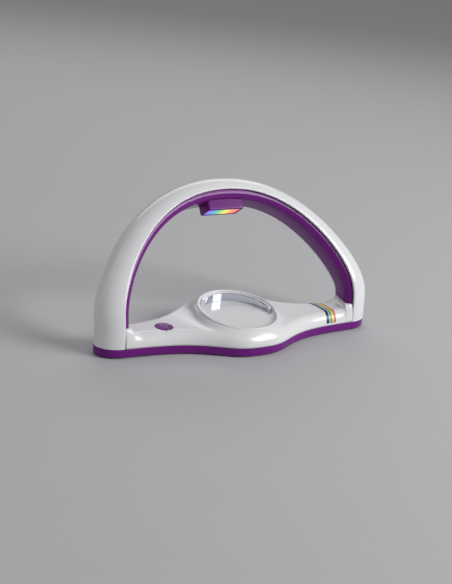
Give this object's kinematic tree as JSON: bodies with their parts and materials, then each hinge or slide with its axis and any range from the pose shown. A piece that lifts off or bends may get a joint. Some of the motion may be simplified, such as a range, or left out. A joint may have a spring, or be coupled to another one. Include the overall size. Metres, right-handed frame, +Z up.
{
  "type": "projector night light",
  "caption": "Arched night light: a leaning arch holds a small colour lamp over a curved mirror in a round dish on a low rounded base with a push button.",
  "frame": {"origin": "on the desk, under the middle of the bounding box", "axes": "+X from the button's side to the striped side along the base, +Y from the front to the back, +Z up"},
  "size_m": [0.2406, 0.1002, 0.1137],
  "materials": {
    "white_plastic": "glossy white moulded plastic",
    "purple_plastic": "glossy purple moulded plastic",
    "rubber": "matt dark rubber",
    "steel": "zinc plated steel",
    "contact": "nickel plated spring steel",
    "cell": "plain wrapped cell, no print",
    "board": "green board with solder mask",
    "black_plastic": "matt black plastic",
    "light_plastic": "satin light plastic",
    "capacitor": "sleeved metal can",
    "mirror": "bright mirror",
    "lens": "ribbed frosted clear plastic",
    "led": "domed light package",
    "lead": "soft sheath"
  },
  "bodies": {
    "lamp": {"arch_shell": "white_plastic", "base_cover": "white_plastic", "mirror_carrier": "white_plastic", "arch_liner": "purple_plastic", "base_housing": "purple_plastic", "lamp_housing": "purple_plastic", "rubber_feet": "rubber", "case_screws": "steel", "contact_plates": "contact", "contact_springs": "contact", "battery_cells": "cell", "main_board": "board", "lamp_board": "board", "control_chip": "black_plastic", "switch_body": "black_plastic", "lamp_baffle": "black_plastic", "storage_capacitor": "capacitor", "mirror_strip": "mirror", "lamp_lens": "lens", "lamp_leds": "led", "lamp_lead": "lead", "battery_lead": "lead"},
    "button": {"power_button": "purple_plastic", "switch_plunger": "light_plastic"},
    "door": {"battery_door": "purple_plastic", "door_screw": "steel"}
  },
  "joints": [
    {"name": "button_press", "type": "slide", "parent": "lamp", "child": "button", "axis": [0, 0, -1], "range_m": [0, 0.0008], "stiffness_N_per_m": 1500, "springref_m": -0.0002},
    {"name": "battery_door_swing", "type": "hinge", "parent": "lamp", "child": "door", "pos_m": [0, 0.01399, 0.0022], "axis": [1, 0, 0], "range_deg": [0, 80]}
  ]
}
